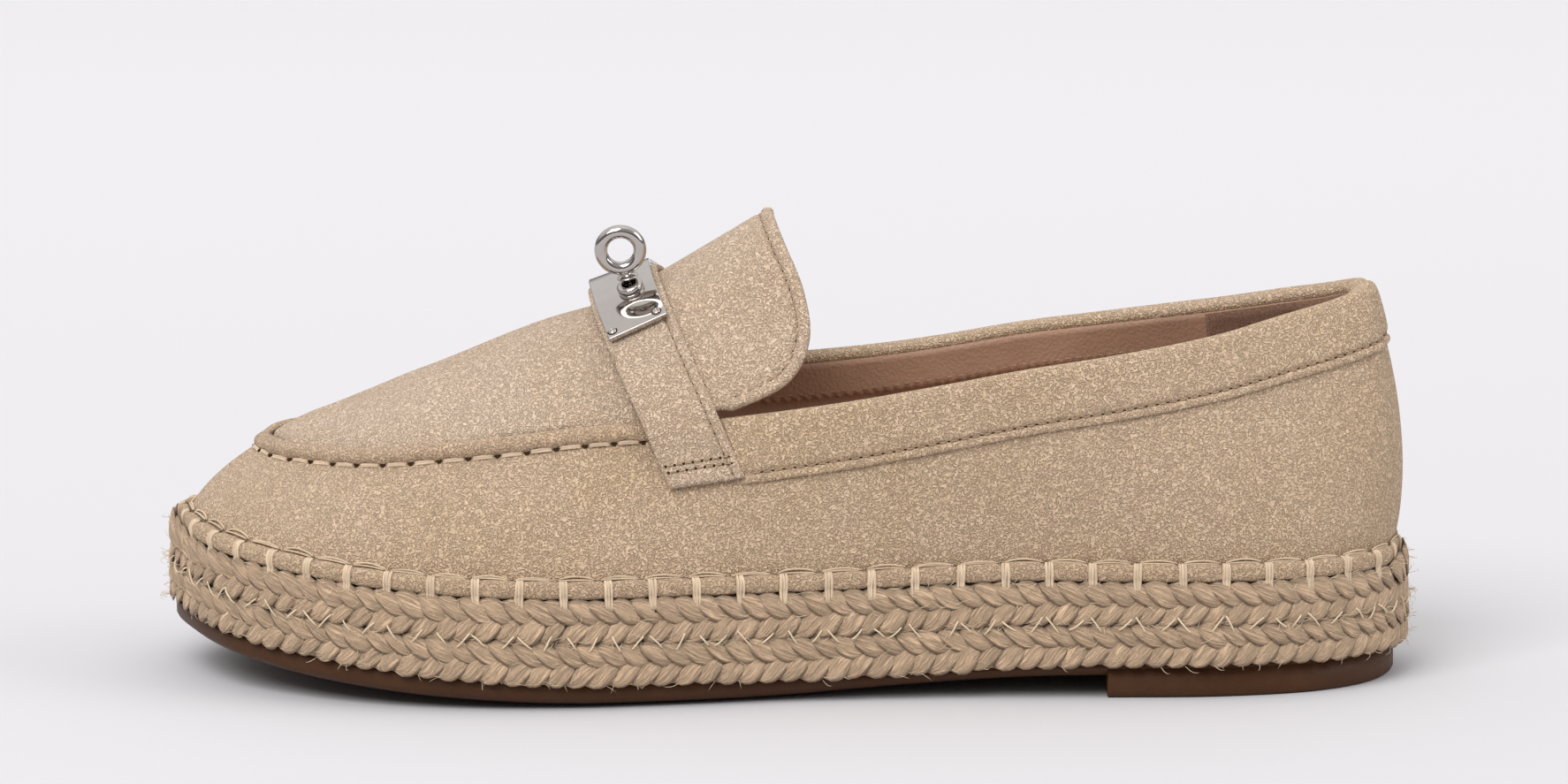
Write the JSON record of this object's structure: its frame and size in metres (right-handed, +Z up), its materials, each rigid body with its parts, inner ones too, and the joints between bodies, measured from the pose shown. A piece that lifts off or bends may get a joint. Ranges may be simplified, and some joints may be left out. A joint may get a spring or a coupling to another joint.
{
  "type": "espadrille loafer",
  "caption": "Left women's beige suede espadrille loafer with jute braid midsole, moc-toe apron, tongue, strap and a ring turn lock.",
  "frame": {"origin": "heel point: the middle of the heel's tread, on the floor", "axes": "+X towards the heel's back (the toe is at -X), +Y towards the inner (big-toe) side, +Z up"},
  "size_m": [0.2598, 0.0941, 0.0975],
  "materials": {
    "rubber": "satin dark brown rubber",
    "jute": "braided natural jute",
    "suede": "matt beige suede",
    "lining": "smooth leather lining",
    "metal": "polished nickel"
  },
  "bodies": {
    "shoe": {"outsole": "rubber", "jute_course_lower": "jute", "jute_course_upper": "jute", "sole_binding": "suede", "insole": "lining", "upper": "suede", "apron_seam_roll": "suede", "collar_binding": "suede", "tongue": "suede", "strap": "suede", "lock_plate": "metal", "rivet_outer_rear": "metal", "rivet_outer_front": "metal", "rivet_inner_rear": "metal", "rivet_inner_front": "metal", "lock_boss": "metal"},
    "toggle": {"lock_toggle": "metal"}
  },
  "joints": [
    {"name": "lock_turn", "type": "hinge", "parent": "shoe", "child": "toggle", "pos_m": [-0.12798, -0.01121, 0.08279], "axis": [-0.2377, -0.1853, 0.9535], "range_deg": [-90, 90]}
  ]
}
